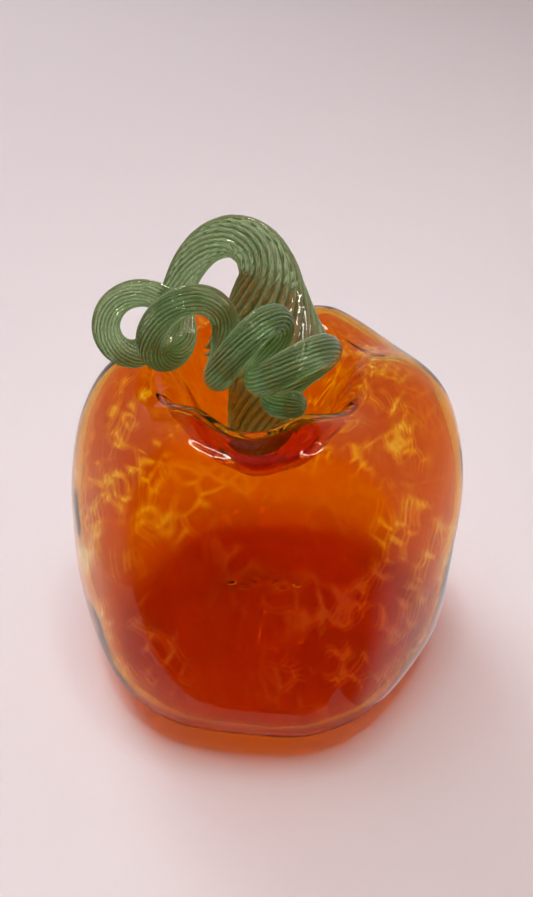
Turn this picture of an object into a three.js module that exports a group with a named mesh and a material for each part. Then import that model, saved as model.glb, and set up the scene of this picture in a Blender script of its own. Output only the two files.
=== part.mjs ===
// A hand-blown glass pumpkin: a hollow ribbed body with a solid glass stem drawn out into a
// tendril. Millimetres, +Z up, origin on the surface it stands on, under the middle of the body.
// Azimuths are in degrees, measured from the front (-Y) towards the right (+X).
import * as THREE from 'three';
import { mergeVertices } from 'three/addons/utils/BufferGeometryUtils.js';

// Body: outer form.
const BODY_RADIUS = 75;
const CREST_HEIGHT = 131; // top of the lobes
const WIDEST_HEIGHT = 36.5;
const CREST_RADIUS = 39; // circle on which the lobes are highest
const SHOULDER_POWER = 2.32; // superellipse exponents, above and below the widest height
const BELLY_POWER = 2.82;
const SHOULDER_SWELL = 4; // how much fuller the right-hand shoulder is than the others
const FOOT_RING = { inner: 29, outer: 35 }; // the flat ring that it stands on
const KICK_UP = 11; // height of the pushed-up middle of the bottom
const DIMPLE_FLOOR = 95; // height of the floor of the top dimple
const DIMPLE_PULL = { top: 24, bottom: 25 }; // radii that its side bends towards
const NECK_RADIUS = 6; // blowing hole in the dimple floor, covered by the stem

// Body: wall, measured square to the outer surface.
const WALL = 3;
const BASE_WALL = 5;
const NECK_WALL = 6;

// Body: creases between the lobes.
const CREASES = [-7, 52, 119, 177, 236, 295];
const CREASE_DEPTH = { floor: 1.4, foot: 1.8, side: 2.2, crest: 4.5, dimple: 2.5 };
const CREASE_SPREAD = { foot: 19, side: 27, crest: 31 }; // degrees either side of a crease

const BODY_SEGMENTS = 60;
const OUTLINE_STEPS = { floor: 4, belly: 7, shoulder: 11, dimple: 8 };
const STEM_SIDES = 12;
const CLEARANCE = 0.3; // between the stem's plug and the dimple floor

// Stem: plug, fluted foot and arch, as centres with the radius of the glass there.
const PLUG_CENTRE = [-2, -1];
const STEM_STATIONS = [
  [...PLUG_CENTRE, DIMPLE_FLOOR + CLEARANCE, 5],
  [...PLUG_CENTRE, 97.5, 8.6],
  [...PLUG_CENTRE, 100.5, 10.6],
  [-1, 0.5, 108, 11.8],
  [1, 3, 117, 14],
  [2, 5, 124.5, 19.5],
  [2.5, 5.5, 129.5, 23.5],
  [2.5, 6, 134, 21.5],
  [2.5, 7.5, 140.5, 18],
  [2.5, 10, 149, 13.8],
  [1.5, 13, 158, 10.2],
  [-3, 15, 164.5, 8.5],
  [-10, 16, 167, 7.2],
  [-17.5, 16, 164.5, 6.5],
  [-23.5, 15, 158.5, 6.1],
  [-27.5, 13, 151.5, 5.7],
  [-30.5, 10.5, 144.5, 5.4],
  [-33, 7.5, 138.5, 5.3],
];

// Tendril: one row for each turn, at its near side: the middle of the turn, its radius, and the
// way the turn faces as azimuth and elevation. The turns in between are worked out from these.
const TURNS = [
  { x: -56, y: 10, z: 139, radius: 12, azimuth: 48, elevation: 87 },
  { x: -41.5, y: -2, z: 144, radius: 11, azimuth: 48, elevation: 48 },
  { x: -26.5, y: -16, z: 151, radius: 10, azimuth: 47, elevation: 9 },
  { x: -6.5, y: -26.5, z: 150, radius: 10.4, azimuth: 71, elevation: -15 },
  { x: 8, y: -35.5, z: 151.5, radius: 9.6, azimuth: 66, elevation: -40 },
  { x: 13.5, y: -29.5, z: 136.5, radius: 10, azimuth: 52, elevation: -66 },
  { x: 10, y: -8, z: 127, radius: 9.5, azimuth: 39, elevation: -95 },
];
const TENDRIL_RADII = [5.2, 4.6, 4.7, 4.9, 5, 4.2, 4];
const TENDRIL_START = -30; // degrees of turn, counted from the bottom of the first full turn
const TENDRIL_END = 1560;
const TENDRIL_STEP = 22.5;
const TAIL_CAP_RINGS = 4;

const { PI, sin, cos, min, max } = Math;
const { degToRad: radians, lerp } = THREE.MathUtils;

/** Outer outline in the (radius, height) plane, from the bottom's middle to the neck. */
function outerOutline() {
  const points = [];
  const add = (r, z, depth, spread, wall, swell = 0) => {
    points.push({ r, z, depth, spread, wall, swell });
  };
  for (let i = 0; i <= OUTLINE_STEPS.floor; i++) {
    const s = i / OUTLINE_STEPS.floor;
    const z = KICK_UP * (0.5 + 0.5 * cos(PI * s));
    const depth = CREASE_DEPTH.floor * s + (CREASE_DEPTH.foot - CREASE_DEPTH.floor) * s * s;
    add(FOOT_RING.inner * s, z, depth, CREASE_SPREAD.foot, BASE_WALL);
  }
  for (let i = 0; i <= OUTLINE_STEPS.belly; i++) {
    const s = i / OUTLINE_STEPS.belly;
    const t = (PI / 2) * (1 - s);
    const r = FOOT_RING.outer + (BODY_RADIUS - FOOT_RING.outer) * cos(t) ** (2 / BELLY_POWER);
    const z = WIDEST_HEIGHT * (1 - sin(t) ** (2 / BELLY_POWER));
    const depth = lerp(CREASE_DEPTH.foot, CREASE_DEPTH.side, s);
    add(r, z, depth, lerp(CREASE_SPREAD.foot, CREASE_SPREAD.side, s), lerp(BASE_WALL, WALL, s));
  }
  for (let i = 1; i <= OUTLINE_STEPS.shoulder; i++) {
    const s = i / OUTLINE_STEPS.shoulder;
    const t = (PI / 2) * s;
    const r = CREST_RADIUS + (BODY_RADIUS - CREST_RADIUS) * cos(t) ** (2 / SHOULDER_POWER);
    const z = WIDEST_HEIGHT + (CREST_HEIGHT - WIDEST_HEIGHT) * sin(t) ** (2 / SHOULDER_POWER);
    const depth = lerp(CREASE_DEPTH.side, CREASE_DEPTH.crest, s * s);
    const spread = lerp(CREASE_SPREAD.side, CREASE_SPREAD.crest, s);
    add(r, z, depth, spread, WALL, SHOULDER_SWELL * sin(PI * s) ** 2);
  }
  const dimple = new THREE.CubicBezierCurve(
    new THREE.Vector2(CREST_RADIUS, CREST_HEIGHT),
    new THREE.Vector2(DIMPLE_PULL.top, CREST_HEIGHT),
    new THREE.Vector2(DIMPLE_PULL.bottom, DIMPLE_FLOOR),
    new THREE.Vector2(NECK_RADIUS, DIMPLE_FLOOR),
  );
  for (let i = 1; i <= OUTLINE_STEPS.dimple; i++) {
    const s = i / OUTLINE_STEPS.dimple;
    const p = dimple.getPoint(s);
    const fade = s < 0.5 ? 1 : (1 - s) / 0.5;
    const depth = lerp(CREASE_DEPTH.crest, CREASE_DEPTH.dimple, min(1, 2 * s)) * fade;
    add(p.x, p.y, depth, CREASE_SPREAD.crest, lerp(WALL, NECK_WALL, s * s));
  }
  return points;
}

/** Unit normal of the outline at one point, pointing into the glass. */
function inwardNormal(outline, i) {
  const a = outline[max(0, i - 1)];
  const b = outline[min(outline.length - 1, i + 1)];
  const along = new THREE.Vector2(b.r - a.r, b.z - a.z).normalize();
  if (i === 0) return new THREE.Vector2(0, 1);
  if (i === outline.length - 1) return new THREE.Vector2(0, -1);
  return new THREE.Vector2(-along.y, along.x);
}

/** How far into a crease of some spread an azimuth is: 1 on the crease, 0 on the lobes. */
function creaseAt(azimuth, spread) {
  let most = 0;
  for (const crease of CREASES) {
    const away = THREE.MathUtils.euclideanModulo(azimuth - crease + 180, 360) - 180;
    const x = away / spread;
    if (Math.abs(x) < 1) most = max(most, (1 - x * x) ** 2);
  }
  return most;
}

/** Merge shared vertices, drop triangles that have closed up, and face the surface outwards. */
function closedGeometry(geometry) {
  geometry.deleteAttribute('uv');
  geometry.deleteAttribute('normal');
  const merged = mergeVertices(geometry, 1e-4);
  const index = merged.index.array;
  const kept = [];
  for (let i = 0; i < index.length; i += 3) {
    const [a, b, c] = [index[i], index[i + 1], index[i + 2]];
    if (a !== b && b !== c && c !== a) kept.push(a, b, c);
  }
  const corner = [new THREE.Vector3(), new THREE.Vector3(), new THREE.Vector3()];
  let volume = 0;
  for (let i = 0; i < kept.length; i += 3) {
    corner.forEach((v, k) => v.fromBufferAttribute(merged.attributes.position, kept[i + k]));
    volume += corner[0].dot(corner[1].clone().cross(corner[2])) / 6;
  }
  merged.setIndex(volume < 0 ? kept.reverse() : kept);
  merged.computeVertexNormals();
  return merged;
}

/** The hollow body: a lathed wall, pressed in along the creases and swelled at one shoulder. */
function bodyGeometry() {
  const outer = outerOutline();
  const rows = outer.map((p, i) => ({ ...p, normal: inwardNormal(outer, i) }));
  const inner = rows.map((p) => ({
    ...p,
    r: max(0, p.r + p.normal.x * p.wall),
    z: p.z + p.normal.y * p.wall,
  }));
  inner[0].r = 0;
  const profile = [...rows, ...inner.reverse()];
  const lathe = new THREE.LatheGeometry(profile.map((p) => new THREE.Vector2(p.r, p.z)), BODY_SEGMENTS);
  const position = lathe.attributes.position;
  for (let i = 0; i < position.count; i++) {
    const segment = Math.floor(i / profile.length) % BODY_SEGMENTS;
    const row = profile[i % profile.length];
    const azimuth = (360 * segment) / BODY_SEGMENTS;
    const rightward = max(0, sin(radians(azimuth)));
    const press = row.depth * creaseAt(azimuth, row.spread) - row.swell * rightward ** 2;
    const r = row.r + row.normal.x * press;
    const z = row.z + row.normal.y * press;
    position.setXYZ(i, r * sin(radians(azimuth)), -r * cos(radians(azimuth)), z);
  }
  return closedGeometry(lathe);
}

/** Smooth value between the rows of a list, at a place counted in rows. */
function between(values, place) {
  const last = values.length - 1;
  const i = THREE.MathUtils.clamp(Math.floor(place), 0, last - 1);
  const [p0, p1] = [values[max(0, i - 1)], values[i]];
  const [p2, p3] = [values[i + 1], values[min(last, i + 2)]];
  const t = place - i;
  const [v0, v1] = [(p2 - p0) / 2, (p3 - p1) / 2];
  return (2 * p1 - 2 * p2 + v0 + v1) * t ** 3 + (3 * p2 - 3 * p1 - 2 * v0 - v1) * t ** 2 + v0 * t + p1;
}

/** Centre of the tendril at an angle of turn, counted in degrees from the bottom of the first. */
function tendrilPoint(angle) {
  const place = (angle - 90) / 360 + 1;
  const at = (key) => between(TURNS.map((turn) => turn[key]), place);
  const [azimuth, elevation] = [radians(at('azimuth')), radians(at('elevation'))];
  const facing = new THREE.Vector3(
    cos(elevation) * sin(azimuth), -cos(elevation) * cos(azimuth), sin(elevation));
  const up = new THREE.Vector3(0, 0, 1).addScaledVector(facing, -facing.z).normalize();
  const side = facing.clone().cross(up);
  return new THREE.Vector3(at('x'), at('y'), at('z'))
    .addScaledVector(up, -at('radius') * cos(radians(angle)))
    .addScaledVector(side, at('radius') * sin(radians(angle)));
}

/** The whole centre line, plug to tail, with the radius of the glass at each point. */
function stemStations() {
  const stations = STEM_STATIONS.map(([x, y, z, radius]) => {
    const centre = new THREE.Vector3(x, y, z);
    return { centre, radius };
  });
  for (let angle = TENDRIL_START; angle <= TENDRIL_END; angle += TENDRIL_STEP) {
    const radius = between(TENDRIL_RADII, max(0, angle / 360 + 0.5));
    stations.push({ centre: tendrilPoint(angle), radius });
  }
  return stations;
}

/** The stem: round sections swept along the centre line, closed by a flat plug and a round tail. */
function stemGeometry() {
  const stations = stemStations();
  const line = new THREE.CatmullRomCurve3(stations.map((s) => s.centre), false, 'centripetal');
  const radii = stations.map((s) => s.radius);
  const steps = radii.length - 1;
  const rings = [];
  const side = new THREE.Vector3(1, 0, 0);
  for (let i = 0; i <= steps; i++) {
    const tangent = i === 0 ? new THREE.Vector3(0, 0, 1) : line.getTangent(i / steps);
    side.addScaledVector(tangent, -side.dot(tangent)).normalize();
    rings.push({ centre: line.getPoint(i / steps), radius: radii[i], side: side.clone(), tangent });
  }
  const tail = rings[steps];
  for (let i = 1; i <= TAIL_CAP_RINGS; i++) {
    const t = (PI / 2) * (i / TAIL_CAP_RINGS);
    const centre = tail.centre.clone().addScaledVector(tail.tangent, tail.radius * sin(t));
    rings.push({ ...tail, centre, radius: i === TAIL_CAP_RINGS ? 0 : tail.radius * cos(t) });
  }
  rings.unshift({ ...rings[0], radius: 0 });
  const tube = new THREE.CylinderGeometry(1, 1, 1, STEM_SIDES, rings.length - 1, true);
  const position = tube.attributes.position;
  for (let i = 0; i < position.count; i++) {
    const ring = rings[Math.floor(i / (STEM_SIDES + 1))];
    const turn = (2 * PI * (i % (STEM_SIDES + 1))) / STEM_SIDES;
    const other = ring.tangent.clone().cross(ring.side);
    const p = ring.centre.clone()
      .addScaledVector(ring.side, ring.radius * cos(turn))
      .addScaledVector(other, ring.radius * sin(turn));
    position.setXYZ(i, p.x, p.y, p.z);
  }
  return closedGeometry(tube);
}

const orangeGlass = new THREE.MeshStandardMaterial({ color: 0xd9540a, roughness: 0.05, metalness: 0 });
const greenGlass = new THREE.MeshStandardMaterial({ color: 0x5f8a52, roughness: 0.08, metalness: 0 });

const body = new THREE.Mesh(bodyGeometry(), orangeGlass);
body.name = 'pumpkin_body';
const stem = new THREE.Mesh(stemGeometry(), greenGlass);
stem.name = 'stem_and_tendril';

const group = new THREE.Group();
group.add(body, stem);
export default group;
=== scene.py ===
"""A hand-blown glass pumpkin: an orange mottled body and a green optic-ribbed stem and tendril.

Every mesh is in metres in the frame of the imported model, +Z up. Sizes below are in millimetres
and are scaled when a mesh is built. Azimuths are in degrees from the front (-Y) towards +X.
"""
import logging
import math
from dataclasses import dataclass, field, replace
from enum import Enum

import bpy
import numpy as np
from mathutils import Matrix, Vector, noise


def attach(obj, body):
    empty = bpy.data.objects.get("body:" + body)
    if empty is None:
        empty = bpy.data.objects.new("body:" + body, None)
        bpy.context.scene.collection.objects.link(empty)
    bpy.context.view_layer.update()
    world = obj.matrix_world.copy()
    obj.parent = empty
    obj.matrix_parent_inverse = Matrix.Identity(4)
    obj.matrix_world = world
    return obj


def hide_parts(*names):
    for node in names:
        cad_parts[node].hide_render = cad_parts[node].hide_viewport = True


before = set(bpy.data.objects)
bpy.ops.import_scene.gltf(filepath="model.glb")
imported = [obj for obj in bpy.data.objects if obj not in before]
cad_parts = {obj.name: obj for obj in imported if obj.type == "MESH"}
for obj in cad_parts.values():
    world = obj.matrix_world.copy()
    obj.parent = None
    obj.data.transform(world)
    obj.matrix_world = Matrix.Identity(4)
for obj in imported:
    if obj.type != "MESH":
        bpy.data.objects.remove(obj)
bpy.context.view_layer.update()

MM = 0.001
LOG = logging.getLogger("glass_pumpkin")


class Part(Enum):
    """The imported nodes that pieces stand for, each with its material slot."""

    BODY = ("pumpkin_body", "orange_glass")
    STEM = ("stem_and_tendril", "green_glass")

    @property
    def node(self) -> str:
        """The node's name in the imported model."""
        return self.value[0]

    @property
    def slot(self) -> str:
        """The name of the material slot that goes with the node in the model; the piece's finish is built
        without it.
        """
        return self.value[1]


# ---------------------------------------------------------------------------------------------
# Helpers for building
# ---------------------------------------------------------------------------------------------


def deselect_all() -> None:
    """Leave nothing selected, so that an operator acts only on what is picked next."""
    if bpy.context.object and bpy.context.object.mode != "OBJECT":
        bpy.ops.object.mode_set(mode="OBJECT")
    bpy.ops.object.select_all(action="DESELECT")


def make_active(piece: bpy.types.Object) -> None:
    """Select one object alone and make it the active one."""
    deselect_all()
    piece.select_set(True)
    bpy.context.view_layer.objects.active = piece


def lerp(first: float, second: float, share: float) -> float:
    """A value part of the way from one to another."""
    return first + (second - first) * share


def between(values: list[float], place: float) -> float:
    """Smooth value between the entries of a list.

    Args:
        values: The entries, evenly spaced.
        place: Where to read, counted in entries.

    Returns:
        The interpolated value.
    """
    last = len(values) - 1
    i = min(max(math.floor(place), 0), last - 1)
    p0, p1, p2, p3 = values[max(0, i - 1)], values[i], values[i + 1], values[min(last, i + 2)]
    t = place - i
    v0, v1 = (p2 - p0) / 2, (p3 - p1) / 2
    cubic = 2 * p1 - 2 * p2 + v0 + v1
    square = 3 * p2 - 3 * p1 - 2 * v0 - v1
    return cubic * t**3 + square * t**2 + v0 * t + p1


def smooth_line(points: list[Vector], steps: int) -> list[Vector]:
    """A centripetal spline through points.

    Args:
        points: The points that the line passes through.
        steps: How many pieces each stretch between two points is cut into.

    Returns:
        The points of the finer line, the given ones among them.
    """
    ends = [points[0] * 2 - points[1], *points, points[-1] * 2 - points[-2]]
    line = []
    for a, b, c, d in zip(ends, ends[1:], ends[2:], ends[3:]):
        t1 = (b - a).length ** 0.5
        t2 = t1 + (c - b).length ** 0.5
        t3 = t2 + (d - c).length ** 0.5
        for k in range(steps):
            t = t1 + (t2 - t1) * k / steps
            ab = a.lerp(b, t / t1)
            bc = b.lerp(c, (t - t1) / (t2 - t1))
            cd = c.lerp(d, (t - t2) / (t3 - t2))
            line.append(ab.lerp(bc, t / t2).lerp(bc.lerp(cd, (t - t1) / (t3 - t1)), (t - t1) / (t2 - t1)))
    line.append(points[-1].copy())
    return line


# ---------------------------------------------------------------------------------------------
# Finishes
# ---------------------------------------------------------------------------------------------


class Nodes:
    """A node tree with short ways to add and join nodes."""

    def __init__(self, tree: bpy.types.NodeTree) -> None:
        """Wrap a tree and empty it."""
        self.tree = tree
        tree.nodes.clear()

    def add(self, kind: str, **settings: object) -> bpy.types.Node:
        """Add a node.

        Args:
            kind: The node's type.
            settings: Properties of the node, and values of its input sockets by name with
                spaces written as underscores.

        Returns:
            The new node.
        """
        node = self.tree.nodes.new(kind)
        for name, value in settings.items():
            if hasattr(node, name):
                setattr(node, name, value)
            else:
                node.inputs[name.replace("_", " ")].default_value = value
        return node

    def join(self, source: bpy.types.NodeSocket, target: bpy.types.NodeSocket) -> None:
        """Link an output to an input."""
        self.tree.links.new(source, target)

    def maths(self, operation: str, first: object, second: object = 0.0, clamp: bool = False) -> object:
        """A Math node on two sockets or numbers.

        Args:
            operation: The node's operation.
            first: A socket or a number.
            second: A socket or a number.
            clamp: Whether the result is kept between 0 and 1.

        Returns:
            The result's socket.
        """
        node = self.add("ShaderNodeMath", operation=operation, use_clamp=clamp)
        for socket, value in zip(node.inputs, (first, second)):
            if isinstance(value, (int, float)):
                socket.default_value = value
            else:
                self.join(value, socket)
        return node.outputs[0]

    def ramp(self, source: object, low: float, high: float) -> object:
        """A smooth 0 to 1 mask as a value climbs from low to high, as the result's socket."""
        node = self.add("ShaderNodeMapRange", interpolation_type="SMOOTHSTEP", From_Min=low, From_Max=high)
        self.join(source, node.inputs["Value"])
        return node.outputs["Result"]

    def blend(self, mask: object, first: object, second: object, kind: str = "MIX") -> object:
        """Blend two colours by a mask.

        Args:
            mask: A socket or a number, 0 for the first colour.
            first: A socket or an RGBA value.
            second: A socket or an RGBA value.
            kind: The blend type.

        Returns:
            The colour's socket.
        """
        node = self.add("ShaderNodeMix", data_type="RGBA", blend_type=kind)
        for socket, value in zip((node.inputs[0], node.inputs[6], node.inputs[7]), (mask, first, second)):
            if isinstance(value, (int, float, tuple)):
                socket.default_value = value
            else:
                self.join(value, socket)
        return node.outputs[2]


@dataclass(frozen=True)
class GlassFinish:
    """What every glass here shares: a clear gloss shader that lets tinted light into shadows."""

    name: str
    roughness: float
    index: float
    shadow_tint: tuple[float, float, float, float]
    clearness: float = 1.0

    def colour(self, nodes: Nodes) -> object:
        """The socket that drives the glass's colour."""
        raise NotImplementedError

    def height(self, nodes: Nodes) -> tuple[object, float]:
        """The socket that drives the surface's fine relief, and its depth in metres."""
        raise NotImplementedError

    def material(self) -> bpy.types.Material:
        """Build the material.

        Returns:
            The finished material.
        """
        material = bpy.data.materials.new(self.name)
        material.use_nodes = True
        nodes = Nodes(material.node_tree)
        glass = nodes.add(
            "ShaderNodeBsdfPrincipled",
            Metallic=0.0,
            Transmission_Weight=self.clearness,
            Roughness=self.roughness,
            IOR=self.index,
        )
        nodes.join(self.colour(nodes), glass.inputs["Base Color"])
        source, depth = self.height(nodes)
        bump = nodes.add("ShaderNodeBump", Strength=1.0, Distance=depth)
        nodes.join(source, bump.inputs["Height"])
        nodes.join(bump.outputs["Normal"], glass.inputs["Normal"])
        through = nodes.add("ShaderNodeBsdfTransparent", Color=self.shadow_tint)
        path = nodes.add("ShaderNodeLightPath")
        mix = nodes.add("ShaderNodeMixShader")
        nodes.join(path.outputs["Is Shadow Ray"], mix.inputs[0])
        nodes.join(glass.outputs[0], mix.inputs[1])
        nodes.join(through.outputs[0], mix.inputs[2])
        output = nodes.add("ShaderNodeOutputMaterial")
        nodes.join(mix.outputs[0], output.inputs["Surface"])
        return material


def ripple_group() -> bpy.types.NodeTree:
    """The slow waviness of hand-worked glass, as a group that any glass can be given.

    Returns:
        A group with a Vector and a Scale going in and a Height coming out.
    """
    name = "hand_worked_ripple"
    if name in bpy.data.node_groups:
        return bpy.data.node_groups[name]
    group = bpy.data.node_groups.new(name, "ShaderNodeTree")
    group.interface.new_socket("Vector", in_out="INPUT", socket_type="NodeSocketVector")
    group.interface.new_socket("Scale", in_out="INPUT", socket_type="NodeSocketFloat")
    group.interface.new_socket("Height", in_out="OUTPUT", socket_type="NodeSocketFloat")
    nodes = Nodes(group)
    into = nodes.add("NodeGroupInput")
    swell = nodes.add("ShaderNodeTexNoise", Detail=1.0, Roughness=0.4, Distortion=0.3)
    nodes.join(into.outputs["Vector"], swell.inputs["Vector"])
    nodes.join(into.outputs["Scale"], swell.inputs["Scale"])
    out = nodes.add("NodeGroupOutput")
    nodes.join(swell.outputs["Fac"], out.inputs["Height"])
    return group


def add_ripple(nodes: Nodes, vector: object, scale: float) -> object:
    """Place the ripple group in a material.

    Args:
        nodes: The material's nodes.
        vector: The coordinates that it follows.
        scale: Waves per metre.

    Returns:
        The height's socket.
    """
    ripple = nodes.add("ShaderNodeGroup")
    ripple.node_tree = ripple_group()
    ripple.inputs["Scale"].default_value = scale
    nodes.join(vector, ripple.inputs["Vector"])
    return ripple.outputs["Height"]


@dataclass(frozen=True)
class MottledOrangeGlass(GlassFinish):
    """Clear orange glass with a net of yellow veins that gather at the shoulders."""

    deep: tuple[float, float, float, float] = (0.83, 0.33, 0.001, 1.0)
    orange: tuple[float, float, float, float] = (0.71, 0.24, 0.001, 1.0)
    yellow: tuple[float, float, float, float] = (1.0, 0.86, 0.20, 1.0)
    pale: tuple[float, float, float, float] = (1.0, 0.97, 0.60, 1.0)
    height_squeeze: float = 0.72
    swirls_per_metre: float = 60.0
    swirl_reach: tuple[float, float, float] = (0.012, 0.012, 0.016)
    cells_per_metre: float = 135.0
    vein_width: float = 0.17
    breaks_per_metre: float = 70.0
    patches_per_metre: float = 17.0
    patch_strength: float = 0.5
    gathers: tuple[tuple[float, float, float], ...] = (
        (-58, -50, 44),
        (50, -50, 50),
        (40, 44, 52),
        (-60, 34, 50),
    )
    gather_core: float = 0.020
    gather_reach: float = 0.050
    veins_start: float = 0.018
    veins_full: float = 0.050
    faintest_vein: float = 0.1
    vein_gain: float = 1.7
    ripples_per_metre: float = 30.0
    ripple_depth: float = 0.0006

    def veins(self, nodes: Nodes, place: object, swirled: object) -> object:
        """The net of veins.

        Args:
            nodes: The material's nodes.
            place: The place on the wall.
            swirled: The same place, stirred about.

        Returns:
            The mask's socket, 1 in the middle of a vein.
        """
        net = nodes.add("ShaderNodeTexVoronoi", feature="DISTANCE_TO_EDGE", Scale=self.cells_per_metre)
        nodes.join(swirled, net.inputs["Vector"])
        vein = nodes.maths("SUBTRACT", 1.0, nodes.ramp(net.outputs["Distance"], 0.0, self.vein_width))
        breaks = nodes.add("ShaderNodeTexNoise", Scale=self.breaks_per_metre, Detail=1.0)
        nodes.join(place, breaks.inputs["Vector"])
        return nodes.maths("MULTIPLY", vein, nodes.ramp(breaks.outputs["Fac"], 0.42, 0.60))

    def gathered(self, nodes: Nodes, place: object, swirled: object) -> object:
        """Where the veins gather: faint patches anywhere, and strong ones at chosen places.

        Args:
            nodes: The material's nodes.
            place: The place on the wall.
            swirled: The same place, stirred about.

        Returns:
            The mask's socket.
        """
        patch = nodes.add("ShaderNodeTexNoise", Scale=self.patches_per_metre, Detail=1.0)
        nodes.join(place, patch.inputs["Vector"])
        mask = nodes.maths("MULTIPLY", nodes.ramp(patch.outputs["Fac"], 0.45, 0.70), self.patch_strength)
        for centre in self.gathers:
            away = nodes.add("ShaderNodeVectorMath", operation="DISTANCE")
            nodes.join(swirled, away.inputs[0])
            away.inputs[1].default_value = [value * MM for value in centre]
            far = nodes.ramp(away.outputs["Value"], self.gather_core, self.gather_reach)
            mask = nodes.maths("MAXIMUM", mask, nodes.maths("SUBTRACT", 1.0, far))
        split = nodes.add("ShaderNodeSeparateXYZ")
        nodes.join(place, split.inputs[0])
        high = nodes.ramp(split.outputs["Z"], self.veins_start, self.veins_full)
        return nodes.maths("MULTIPLY", mask, high)

    def colour(self, nodes: Nodes) -> object:
        """The mottled colour of the wall."""
        place = nodes.add("ShaderNodeAttribute", attribute_name="skin").outputs["Vector"]
        squeeze = nodes.add("ShaderNodeMapping", Scale=(1.0, 1.0, self.height_squeeze))
        nodes.join(place, squeeze.inputs["Vector"])
        swirl = nodes.add("ShaderNodeTexNoise", Scale=self.swirls_per_metre, Detail=2.0)
        nodes.join(squeeze.outputs["Vector"], swirl.inputs["Vector"])
        stir = nodes.add("ShaderNodeVectorMath", operation="MULTIPLY_ADD")
        stir.inputs[1].default_value = self.swirl_reach
        nodes.join(swirl.outputs["Color"], stir.inputs[0])
        nodes.join(squeeze.outputs["Vector"], stir.inputs[2])
        vein = self.veins(nodes, place, stir.outputs[0])
        gathered = self.gathered(nodes, place, stir.outputs[0])
        ground = nodes.blend(gathered, self.deep, self.orange)
        gain = nodes.maths("MULTIPLY", gathered, self.vein_gain)
        share = nodes.maths("ADD", self.faintest_vein, gain)
        strength = nodes.maths("MULTIPLY", vein, share, clamp=True)
        veined = nodes.blend(strength, ground, self.yellow)
        return nodes.blend(nodes.ramp(strength, 0.55, 1.0), veined, self.pale)

    def height(self, nodes: Nodes) -> tuple[object, float]:
        """A slow swell, as left by the breath and the block."""
        place = nodes.add("ShaderNodeTexCoord")
        return add_ripple(nodes, place.outputs["Object"], self.ripples_per_metre), self.ripple_depth


@dataclass(frozen=True)
class RibbedGreenGlass(GlassFinish):
    """Green glass whose rib valleys carry painted shade, broken into fine light and shaded threads along
    the stem, with a painted deeper green at its glancing edges.
    """

    # Painted shade: the colour laid into the rib valleys in place of the shade that falls there.
    valley_shade: tuple[float, float, float, float] = (0.025, 0.075, 0.02, 1.0)
    light: tuple[float, float, float, float] = (0.46, 0.58, 0.32, 1.0)
    # Painted shade: a deeper green laid on the glancing edges, standing in for the longer path of light
    # through the glass.
    edge: tuple[float, float, float, float] = (0.09, 0.42, 0.05, 1.0)
    flow: str = "flow"
    # The attribute that says how deep in a rib valley each point lies, which sets where shade is painted.
    valley: str = "valley"
    threads_round: float = 7.0
    unbroken_shade: float = 0.35
    edge_shade_strength: float = 0.7
    thread_relief: float = 0.00008

    def threads(self, nodes: Nodes) -> object:
        """Fine threads that run along the glass, as a mask's socket."""
        flow = nodes.add("ShaderNodeAttribute", attribute_name=self.flow)
        thread = nodes.add("ShaderNodeTexNoise", Scale=self.threads_round, Detail=3.0, Roughness=0.6)
        nodes.join(flow.outputs["Vector"], thread.inputs["Vector"])
        return nodes.ramp(thread.outputs["Fac"], 0.35, 0.65)

    def colour(self, nodes: Nodes) -> object:
        """The stem's colour: shade painted into the rib valleys and broken into threads, and a painted
        deeper green at the glancing edges.
        """
        valley = nodes.add("ShaderNodeAttribute", attribute_name=self.valley)
        threads = nodes.maths("MULTIPLY", self.threads(nodes), 1.0 - self.unbroken_shade)
        broken = nodes.maths("ADD", self.unbroken_shade, threads)
        # Painted shade: the deeper into a rib valley, the more of the shade colour, broken by the threads.
        low = nodes.ramp(valley.outputs["Fac"], 0.35, 0.95)
        shade = nodes.maths("MULTIPLY", low, broken, clamp=True)
        valley_shaded = nodes.blend(shade, self.light, self.valley_shade)
        # Painted shade: the more glancing the view, the more of the deeper edge green.
        facing = nodes.add("ShaderNodeLayerWeight", Blend=0.35)
        painted_rim_shade = nodes.maths("MULTIPLY", facing.outputs["Facing"], self.edge_shade_strength)
        return nodes.blend(painted_rim_shade, valley_shaded, self.edge)

    def height(self, nodes: Nodes) -> tuple[object, float]:
        """Threads that stand a little proud."""
        return self.threads(nodes), self.thread_relief


@dataclass(frozen=True)
class PaleSurface:
    """The plain pale surface that the object stands on."""

    name: str = "pale_surface"
    colour: tuple[float, float, float, float] = (0.78, 0.732, 0.752, 1.0)
    roughness: float = 0.75

    def material(self) -> bpy.types.Material:
        """Build the material.

        Returns:
            The finished material.
        """
        material = bpy.data.materials.new(self.name)
        material.use_nodes = True
        shader = material.node_tree.nodes["Principled BSDF"]
        shader.inputs["Base Color"].default_value = self.colour
        shader.inputs["Roughness"].default_value = self.roughness
        return material


@dataclass(frozen=True)
class LampGlow:
    """The even glow of the overhead lamp's frame."""

    name: str
    strength: float
    colour: tuple[float, float, float, float] = (1.0, 0.97, 0.95, 1.0)

    def material(self) -> bpy.types.Material:
        """Build the material.

        Returns:
            The finished material.
        """
        material = bpy.data.materials.new(self.name)
        material.use_nodes = True
        nodes = Nodes(material.node_tree)
        glow = nodes.add("ShaderNodeEmission", Color=self.colour, Strength=self.strength)
        output = nodes.add("ShaderNodeOutputMaterial")
        nodes.join(glow.outputs[0], output.inputs["Surface"])
        return material


# ---------------------------------------------------------------------------------------------
# Body
# ---------------------------------------------------------------------------------------------


@dataclass
class WallRow:
    """One row of the body's outline: where it is, how deep creases press it, and its wall.

    An inner row's skin is the place of its outer partner, so that colour lies through the wall.
    """

    r: float
    z: float
    crease: float
    spread: float
    wall: float
    swell: float = 0.0
    normal: tuple[float, float] = (0.0, 0.0)
    skin: tuple[float, float] = (0.0, 0.0)


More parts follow.
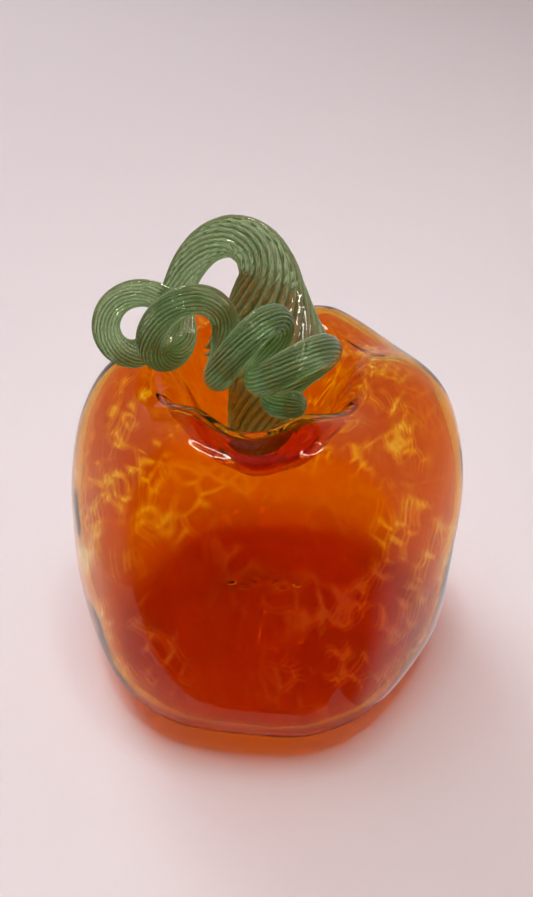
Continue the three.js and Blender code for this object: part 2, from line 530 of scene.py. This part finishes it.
@dataclass
class BlownBody:
    """The hollow body with its lobes, top dimple and pushed-up bottom. Sizes in millimetres."""

    radius: float = 74.8
    crest_height: float = 130.9
    widest_height: float = 36.5
    crest_radius: float = 39.0
    shoulder_power: float = 2.32
    belly_power: float = 2.82
    shoulder_swell: float = 3.9
    foot_inner: float = 29.0
    foot_outer: float = 35.0
    kick_up: float = 11.0
    dimple_floor: float = 95.0
    dimple_pull_top: float = 24.0
    dimple_pull_bottom: float = 25.0
    neck_radius: float = 6.0
    wall: float = 3.0
    base_wall: float = 5.0
    neck_wall: float = 6.0
    creases: tuple[float, ...] = (-7.0, 52.0, 119.0, 177.0, 236.0, 295.0)
    spread_foot: float = 19.0
    spread_side: float = 27.0
    spread_crest: float = 31.0
    crease_floor: float = 0.4  # shallower than the solid part's, so that it draws no dark spots
    crease_foot: float = 1.8
    crease_side: float = 2.2
    crease_crest: float = 4.5
    crease_dimple: float = 2.5
    wander_most: float = 0.8
    segments: int = 240
    floor_rows: int = 11
    belly_rows: int = 16
    shoulder_rows: int = 30
    dimple_row_count: int = 24
    finish: GlassFinish = field(
        default_factory=lambda: MottledOrangeGlass(
            name="mottled_orange_glass",
            roughness=0.02,
            index=1.22,
            shadow_tint=(0.66, 0.33, 0.20, 1.0),
        )
    )

    def outer_rows(self) -> list[WallRow]:
        """The outer outline, from the bottom's middle over the crest to the neck.

        Returns:
            The rows, with their normals pointing into the glass.
        """
        rows = []
        for i in range(self.floor_rows + 1):
            s = i / self.floor_rows
            z = self.kick_up * (0.5 + 0.5 * math.cos(math.pi * s))
            crease = self.crease_floor * s + (self.crease_foot - self.crease_floor) * s * s
            rows.append(WallRow(self.foot_inner * s, z, crease, self.spread_foot, self.base_wall))
        for i in range(self.belly_rows + 1):
            s = i / self.belly_rows
            t = math.pi / 2 * (1 - s)
            r = self.foot_outer + (self.radius - self.foot_outer) * math.cos(t) ** (2 / self.belly_power)
            z = self.widest_height * (1 - math.sin(t) ** (2 / self.belly_power))
            crease = lerp(self.crease_foot, self.crease_side, s)
            spread = lerp(self.spread_foot, self.spread_side, s)
            rows.append(WallRow(r, z, crease, spread, lerp(self.base_wall, self.wall, s)))
        for i in range(1, self.shoulder_rows + 1):
            s = i / self.shoulder_rows
            t = math.pi / 2 * s
            out = math.cos(t) ** (2 / self.shoulder_power)
            r = self.crest_radius + (self.radius - self.crest_radius) * out
            z = self.widest_height
            z += (self.crest_height - self.widest_height) * math.sin(t) ** (2 / self.shoulder_power)
            crease = lerp(self.crease_side, self.crease_crest, s * s)
            spread = lerp(self.spread_side, self.spread_crest, s)
            swell = self.shoulder_swell * math.sin(math.pi * s) ** 2
            rows.append(WallRow(r, z, crease, spread, self.wall, swell))
        rows += self.dimple_rows(self.dimple_row_count)
        for before, row, after in zip(rows, rows[1:], rows[2:]):
            along = Vector((after.r - before.r, after.z - before.z)).normalized()
            row.normal = (-along.y, along.x)
        rows[0].normal = (0.0, 1.0)
        rows[-1].normal = (0.0, -1.0)
        for row in rows:
            row.skin = (row.r, row.z)
        return rows

    def dimple_rows(self, count: int) -> list[WallRow]:
        """The rows of the top dimple, from the crest in and down to the neck.

        Args:
            count: How many rows.

        Returns:
            The rows, without normals.
        """
        corners = [
            Vector((self.crest_radius, self.crest_height)),
            Vector((self.dimple_pull_top, self.crest_height)),
            Vector((self.dimple_pull_bottom, self.dimple_floor)),
            Vector((self.neck_radius, self.dimple_floor)),
        ]
        rows = []
        for i in range(1, count + 1):
            s = i / count
            weights = ((1 - s) ** 3, 3 * s * (1 - s) ** 2, 3 * s * s * (1 - s), s**3)
            point = sum((corner * weight for corner, weight in zip(corners, weights)), Vector((0, 0)))
            fade = min(1.0, 2 * (1 - s))
            crease = lerp(self.crease_crest, self.crease_dimple, min(1.0, 2 * s))
            wall = lerp(self.wall, self.neck_wall, s * s)
            rows.append(WallRow(point.x, point.y, crease * fade, self.spread_crest, wall))
        return rows

    def rows(self) -> list[WallRow]:
        """The whole closed wall: the outer rows and then the inner ones back to the axis."""
        outer = self.outer_rows()
        inner = []
        for row in reversed(outer):
            r = max(0.0, row.r + row.normal[0] * row.wall)
            z = row.z + row.normal[1] * row.wall
            inner.append(replace(row, r=r, z=z))
        return outer + inner

    def crease_at(self, azimuth: float, spread: float) -> float:
        """How far into a crease of some spread an azimuth is: 1 on the crease, 0 on the lobes."""
        most = 0.0
        for crease in self.creases:
            away = (azimuth - crease + 180.0) % 360.0 - 180.0
            x = away / spread
            if abs(x) < 1:
                most = max(most, (1 - x * x) ** 2)
        return most

    def spin(self, rows: list[WallRow]) -> bpy.types.Object:
        """Draw the wall's outline edge by edge and spin it about the axis.

        Args:
            rows: The outline.

        Returns:
            The closed round vessel, before its creases.
        """
        deselect_all()
        start = (rows[0].r * MM, 0.0, rows[0].z * MM)
        bpy.ops.mesh.primitive_plane_add(size=MM, location=start, enter_editmode=True)
        bpy.ops.mesh.select_all(action="SELECT")
        bpy.ops.mesh.merge(type="CENTER")
        for here, there in zip(rows, rows[1:]):
            step = ((there.r - here.r) * MM, 0.0, (there.z - here.z) * MM)
            bpy.ops.mesh.extrude_region_move(TRANSFORM_OT_translate={"value": step})
        bpy.ops.mesh.select_all(action="SELECT")
        bpy.ops.mesh.spin(steps=self.segments, angle=2 * math.pi, center=(0, 0, 0), axis=(0, 0, 1))
        bpy.ops.mesh.select_all(action="SELECT")
        bpy.ops.mesh.remove_doubles(threshold=0.00002)
        bpy.ops.mesh.normals_make_consistent(inside=False)
        bpy.ops.object.mode_set(mode="OBJECT")
        vessel = bpy.context.object
        bpy.ops.object.transform_apply(location=True, rotation=True, scale=True)
        return vessel

    def press_creases(self, vessel: bpy.types.Object, rows: list[WallRow]) -> None:
        """Press the lobes apart along the creases, and let the wall wander as hand work does.

        Args:
            vessel: The round vessel.
            rows: The outline that it was spun from.
        """
        places = np.array([(row.r, row.z) for row in rows])
        skin = vessel.data.attributes.new("skin", "FLOAT_VECTOR", "POINT")
        for vertex in vessel.data.vertices:
            x, y, z = vertex.co / MM
            r = math.hypot(x, y)
            nearest = int(np.argmin((places[:, 0] - r) ** 2 + (places[:, 1] - z) ** 2))
            row = rows[nearest]
            if r < 0.01:
                skin.data[vertex.index].vector = (0.0, 0.0, row.skin[1] * MM)
                continue
            outward = row.skin[0] / r
            skin.data[vertex.index].vector = Vector((x * outward, y * outward, row.skin[1])) * MM
            azimuth = math.degrees(math.atan2(x, -y))
            press = row.crease * self.crease_at(azimuth, row.spread)
            press -= row.swell * max(0.0, x / r) ** 2
            wander = 0.5 + 0.5 * noise.noise(Vector((x, y, z)) * 0.045)
            press += self.hand_wander(row, r, z) * wander
            r_new = r + row.normal[0] * press
            vertex.co = Vector((x * r_new / r, y * r_new / r, z + row.normal[1] * press)) * MM

    def hand_wander(self, row: WallRow, r: float, z: float) -> float:
        """How far hand work lets the wall wander here: none at the foot or in the dimple."""
        clear_of_foot = min(1.0, max(0.0, (z - 8.0) / 20.0))
        clear_of_neck = min(1.0, max(0.0, (r - 24.0) / 10.0))
        return self.wander_most * clear_of_foot * clear_of_neck

    def build(self) -> bpy.types.Object:
        """Model, dress and place the body.

        Returns:
            The finished body.
        """
        rows = self.rows()
        vessel = self.spin(rows)
        self.press_creases(vessel, rows)
        vessel.name = "blown_body"
        vessel.data.shade_smooth()
        vessel.data.materials.append(self.finish.material())
        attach(vessel, "root")
        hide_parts(Part.BODY.node)
        return vessel


# ---------------------------------------------------------------------------------------------
# Stem
# ---------------------------------------------------------------------------------------------


@dataclass
class Turn:
    """One turn of the tendril: its middle, its radius, and the way that it faces."""

    x: float
    y: float
    z: float
    radius: float
    azimuth: float
    elevation: float


@dataclass
class DrawnStem:
    """The solid stem, drawn out of one ribbed gather. Sizes in millimetres."""

    stations: tuple[tuple[float, float, float, float], ...] = (
        (-2, -1, 95.3, 5),
        (-2, -1, 97.5, 8.6),
        (-2, -1, 100.5, 10.6),
        (-1, 0.5, 108, 11.8),
        (1, 3, 117, 14),
        (2, 5, 124.5, 19.5),
        (2.5, 5.5, 129.5, 23.5),
        (2.5, 6, 134, 21.5),
        (2.5, 7.5, 140.5, 18),
        (2.5, 10, 149, 13.8),
        (1.5, 13, 158, 10.2),
        (-3, 15, 164.5, 8.5),
        (-10, 16, 167, 7.2),
        (-17.5, 16, 164.5, 6.5),
        (-23.5, 15, 158.5, 6.1),
        (-27.5, 13, 151.5, 5.7),
        (-30.5, 10.5, 144.5, 5.4),
        (-33, 7.5, 138.5, 5.3),
    )
    turns: tuple[Turn, ...] = (
        Turn(-56, 10, 139, 12, 48, 87),
        Turn(-41.5, -2, 144, 11, 48, 48),
        Turn(-26.5, -16, 151, 10, 47, 9),
        Turn(-6.5, -26.5, 150, 10.4, 71, -15),
        Turn(8, -35.5, 151.5, 9.6, 66, -40),
        Turn(13.5, -29.5, 136.5, 10, 52, -66),
        Turn(10, -8, 127, 9.5, 39, -95),
    )
    tendril_radii: tuple[float, ...] = (5.2, 4.6, 4.7, 4.9, 5, 4.2, 4)
    tendril_start: float = -30.0
    tendril_end: float = 1560.0
    tendril_step: float = 22.5
    ribs: int = 22
    points_per_rib: int = 6
    rib_depth: float = 0.15
    twist_per_mm: float = 2.6
    line_steps: int = 4
    skin: float = 0.965
    finish: GlassFinish = field(
        default_factory=lambda: RibbedGreenGlass(
            name="ribbed_green_glass",
            roughness=0.02,
            index=1.42,
            shadow_tint=(0.45, 0.62, 0.42, 1.0),
            clearness=0.82,
        )
    )

    def tendril_point(self, angle: float) -> Vector:
        """Centre of the tendril at an angle of turn, in degrees from the first turn's bottom."""
        place = (angle - 90.0) / 360.0 + 1.0
        x, y, z, radius, azimuth, elevation = (
            between([getattr(turn, name) for turn in self.turns], place)
            for name in ("x", "y", "z", "radius", "azimuth", "elevation")
        )
        azimuth, elevation, turned = map(math.radians, (azimuth, elevation, angle))
        level = math.cos(elevation)
        facing = Vector((level * math.sin(azimuth), -level * math.cos(azimuth), math.sin(elevation)))
        up = (Vector((0, 0, 1)) - facing * facing.z).normalized()
        side = facing.cross(up)
        return Vector((x, y, z)) - up * radius * math.cos(turned) + side * radius * math.sin(turned)

    def centre_line(self) -> tuple[list[Vector], list[float]]:
        """The finer centre line from plug to tail, and the radius of the glass along it.

        Returns:
            The points and the radii, in millimetres.
        """
        centres = [Vector(station[:3]) for station in self.stations]
        radii = [float(station[3]) for station in self.stations]
        angle = self.tendril_start
        while angle <= self.tendril_end:
            centres.append(self.tendril_point(angle))
            radii.append(between(list(self.tendril_radii), max(0.0, angle / 360.0 + 0.5)))
            angle += self.tendril_step
        line = smooth_line(centres, self.line_steps)
        fine = [between(radii, i / self.line_steps) for i in range(len(line))]
        return line, fine

    def round_tail(self, line: list[Vector], radii: list[float]) -> None:
        """Add a round end to the centre line."""
        onward = (line[-1] - line[-2]).normalized()
        end, radius = line[-1].copy(), radii[-1]
        for i in range(1, 9):
            t = math.pi / 2 * i / 8
            line.append(end + onward * radius * math.sin(t))
            radii.append(max(0.02, radius * math.cos(t)))

    def rib_section(self) -> bpy.types.Object:
        """The ribbed section of the gather, one unit in radius, as a closed curve."""
        count = self.ribs * self.points_per_rib
        curve = bpy.data.curves.new("rib_section", "CURVE")
        spline = curve.splines.new("POLY")
        spline.points.add(count - 1)
        spline.use_cyclic_u = True
        for i, point in enumerate(spline.points):
            turn = 2 * math.pi * i / count
            valley = (0.5 - 0.5 * math.cos(self.ribs * turn)) ** 1.5
            radius = MM * self.skin * (1 - self.rib_depth * valley)
            point.co = (radius * math.cos(turn), radius * math.sin(turn), 0.0, 1.0)
        section = bpy.data.objects.new("rib_section", curve)
        bpy.context.collection.objects.link(section)
        return section

    def sweep(self) -> tuple[bpy.types.Object, list[float]]:
        """Sweep the ribbed section along the centre line, twisting as it goes.

        Returns:
            The mesh, and the length of line up to each of its rings in millimetres.
        """
        line, radii = self.centre_line()
        self.round_tail(line, radii)
        section = self.rib_section()
        curve = bpy.data.curves.new("stem_line", "CURVE")
        curve.dimensions = "3D"
        curve.twist_mode = "MINIMUM"
        curve.bevel_mode = "OBJECT"
        curve.bevel_object = section
        curve.use_fill_caps = True
        spline = curve.splines.new("POLY")
        spline.points.add(len(line) - 1)
        length = 0.0
        lengths = []
        for i, point in enumerate(spline.points):
            if i:
                length += (line[i] - line[i - 1]).length
            lengths.append(length)
            point.co = (*(line[i] * MM), 1.0)
            point.radius = radii[i]
            point.tilt = math.radians(self.twist_per_mm * length)
        stem = bpy.data.objects.new("drawn_stem", curve)
        bpy.context.collection.objects.link(stem)
        make_active(stem)
        bpy.ops.object.convert(target="MESH")
        bpy.data.objects.remove(section)
        return stem, lengths

    def mark_flow(self, stem: bpy.types.Object, lengths: list[float]) -> None:
        """Give each point its place round and along the glass, for threads that follow it."""
        count = self.ribs * self.points_per_rib
        stem.data.attributes.new("flow", "FLOAT_VECTOR", "POINT")
        stem.data.attributes.new("valley", "FLOAT", "POINT")
        flow, valley = stem.data.attributes["flow"], stem.data.attributes["valley"]
        for i in range(len(stem.data.vertices)):
            ring = min(i // count, len(lengths) - 1)
            turn = 2 * math.pi * (i % count) / count
            flow.data[i].vector = (math.cos(turn), math.sin(turn), lengths[ring] * 0.006)
            # How deep in a rib valley each point lies, which sets where the stem's colour paints shade.
            valley.data[i].value = 0.5 - 0.5 * math.cos(self.ribs * turn)

    def build(self) -> bpy.types.Object:
        """Model, dress and place the stem.

        Returns:
            The finished stem.
        """
        stem, lengths = self.sweep()
        self.mark_flow(stem, lengths)
        make_active(stem)
        bpy.ops.object.mode_set(mode="EDIT")
        bpy.ops.mesh.select_all(action="SELECT")
        bpy.ops.mesh.remove_doubles(threshold=0.000001)
        bpy.ops.mesh.normals_make_consistent(inside=False)
        bpy.ops.object.mode_set(mode="OBJECT")
        stem.data.shade_smooth()
        stem.data.materials.clear()
        stem.data.materials.append(self.finish.material())
        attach(stem, "root")
        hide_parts(Part.STEM.node)
        return stem


# ---------------------------------------------------------------------------------------------
# Studio
# ---------------------------------------------------------------------------------------------


@dataclass
class Studio:
    """The pale surface, the lights and the camera. Sizes in metres."""

    floor_radius: float = 6.0
    floor_drop: float = 0.0002
    sheet_drop: float = 0.0001
    seen_through: tuple[float, float, float, float] = (-4.0, 4.0, -1.5, 5.0)
    mirrored: tuple[float, float, float, float] = (-0.16, 0.05, -0.092, 0.4)
    lamp_radius: float = 0.14
    lamp_thickness: float = 0.010
    lamp_place: tuple[float, float, float] = (0.05, -0.12, 0.95)
    lamp_strength: float = 70.0
    surround_through_glass: float = 0.95
    surround_dimming: float = 0.65
    camera_distance: float = 0.2950
    camera_elevation: float = 37.2
    aim: tuple[float, float, float] = (0.0016, 0.0, 0.0918)
    lens: float = 32.1
    pale: tuple[float, float, float, float] = (0.72, 0.665, 0.685, 1.0)
    room: tuple[float, float, float, float] = (0.10, 0.035, 0.012, 1.0)

    def floor(self) -> None:
        """A broad level floor."""
        deselect_all()
        bpy.ops.mesh.primitive_circle_add(
            vertices=96, radius=self.floor_radius, fill_type="NGON", location=(0, 0, -self.floor_drop)
        )
        floor = bpy.context.object
        floor.name = "floor"
        floor.data.materials.append(PaleSurface().material())
        floor.visible_glossy = False
        floor.visible_transmission = False

    def sheet(self, name: str, edges: tuple[float, float, float, float]) -> bpy.types.Object:
        """A lit sheet on the floor that only the glass sees.

        Args:
            name: The sheet's name.
            edges: Its left, right, front and back edges.

        Returns:
            The sheet.
        """
        left, right, front, back = edges
        middle = ((left + right) / 2, (front + back) / 2, -self.sheet_drop)
        deselect_all()
        bpy.ops.mesh.primitive_plane_add(size=1.0, location=middle)
        sheet = bpy.context.object
        sheet.name = name
        sheet.scale = (right - left, back - front, 1.0)
        bpy.ops.object.transform_apply(location=True, rotation=True, scale=True)
        sheet.data.materials.append(PaleSurface(name=name + "_surface").material())
        sheet.visible_camera = False
        sheet.visible_diffuse = False
        sheet.visible_shadow = False
        return sheet

    def sheets(self) -> None:
        """The floor as it shows through the glass, and the smaller part that the glass mirrors."""
        self.sheet("seen_through", self.seen_through).visible_glossy = False
        self.sheet("mirrored", self.mirrored).visible_transmission = False

    def lamp_frame(self) -> None:
        """A thin glowing frame overhead, whose hollow outline shows in the glass."""
        deselect_all()
        bpy.ops.mesh.primitive_torus_add(
            major_radius=self.lamp_radius,
            minor_radius=self.lamp_thickness,
            major_segments=96,
            minor_segments=12,
            location=self.lamp_place,
        )
        ring = bpy.context.object
        ring.name = "lamp_frame"
        ring.data.materials.append(LampGlow("lamp_glow", strength=self.lamp_strength).material())
        ring.visible_camera = False

    def lights(self) -> None:
        """A soft light from high up behind on the left, another overhead, and the surround."""
        soft = (
            ("soft_above", (-1.2, 1.9, 2.2), 1.3, 35.0, (1.0, 0.985, 1.0)),
            ("soft_fill", (-0.5, 0.2, 1.9), 0.7, 7.5, (1.0, 0.985, 1.0)),
        )
        for name, place, size, power, colour in soft:
            light = bpy.data.lights.new(name, "AREA")
            light.size = size
            light.energy = power
            light.color = colour
            lamp = bpy.data.objects.new(name, light)
            lamp.location = place
            lamp.rotation_euler = (Vector((0, 0, 0.06)) - Vector(place)).to_track_quat("-Z", "Y").to_euler()
            lamp.visible_glossy = False
            lamp.visible_transmission = False
            bpy.context.collection.objects.link(lamp)
        self.surround()

    def surround(self) -> None:
        """A pale surround, which falls off to a dim room in front of what the glass mirrors."""
        world = bpy.data.worlds.new("surround")
        world.use_nodes = True
        nodes = Nodes(world.node_tree)
        facing = nodes.add("ShaderNodeTexCoord")
        split = nodes.add("ShaderNodeSeparateXYZ")
        nodes.join(facing.outputs["Generated"], split.inputs[0])
        path = nodes.add("ShaderNodeLightPath")
        dimming = nodes.maths("MULTIPLY", path.outputs["Is Diffuse Ray"], self.surround_dimming)
        dimmed = nodes.maths("SUBTRACT", 1.0, dimming)
        behind = nodes.maths("MULTIPLY", nodes.ramp(split.outputs["Y"], -0.35, 0.05), dimmed)
        passing = path.outputs["Is Transmission Ray"]
        through = nodes.maths("MULTIPLY", passing, self.surround_through_glass)
        plain = nodes.maths("MAXIMUM", path.outputs["Is Camera Ray"], through)
        lit = nodes.maths("MAXIMUM", behind, plain)
        shade = nodes.add("ShaderNodeBackground")
        nodes.join(nodes.blend(lit, self.room, self.pale), shade.inputs["Color"])
        output = nodes.add("ShaderNodeOutputWorld")
        nodes.join(shade.outputs[0], output.inputs["Surface"])
        bpy.context.scene.world = world

    def camera(self) -> None:
        """The camera, in front and looking down at the body."""
        rise = math.radians(self.camera_elevation)
        away = Vector((0.0, -math.cos(rise), math.sin(rise)))
        data = bpy.data.cameras.new("camera")
        data.lens = self.lens
        data.clip_start = 0.01
        data.clip_end = 30.0
        camera = bpy.data.objects.new("camera", data)
        camera.location = Vector(self.aim) + away * self.camera_distance
        camera.rotation_euler = (-away).to_track_quat("-Z", "Y").to_euler()
        bpy.context.collection.objects.link(camera)
        bpy.context.scene.camera = camera

    def light_paths(self) -> None:
        """Let light pass through every wall that it can meet here."""
        cycles = bpy.context.scene.cycles
        cycles.max_bounces = 20
        cycles.transmission_bounces = 20
        cycles.transparent_max_bounces = 20
        cycles.glossy_bounces = 6

    def build(self) -> None:
        """Set up everything round the object."""
        self.camera()
        self.floor()
        self.sheets()
        self.lamp_frame()
        self.lights()
        self.light_paths()
        bpy.context.scene.view_settings.view_transform = "Standard"


def report(piece: bpy.types.Object) -> None:
    """Log a finished piece's name and how many faces it has."""
    LOG.info("%s: %d faces", piece.name, len(piece.data.polygons))


def main() -> None:
    """Build the studio and the two pieces in order."""
    logging.basicConfig(level=logging.INFO, format="%(name)s: %(message)s")
    Studio().build()
    for piece in (BlownBody().build(), DrawnStem().build()):
        report(piece)


if __name__ == "__main__":
    main()
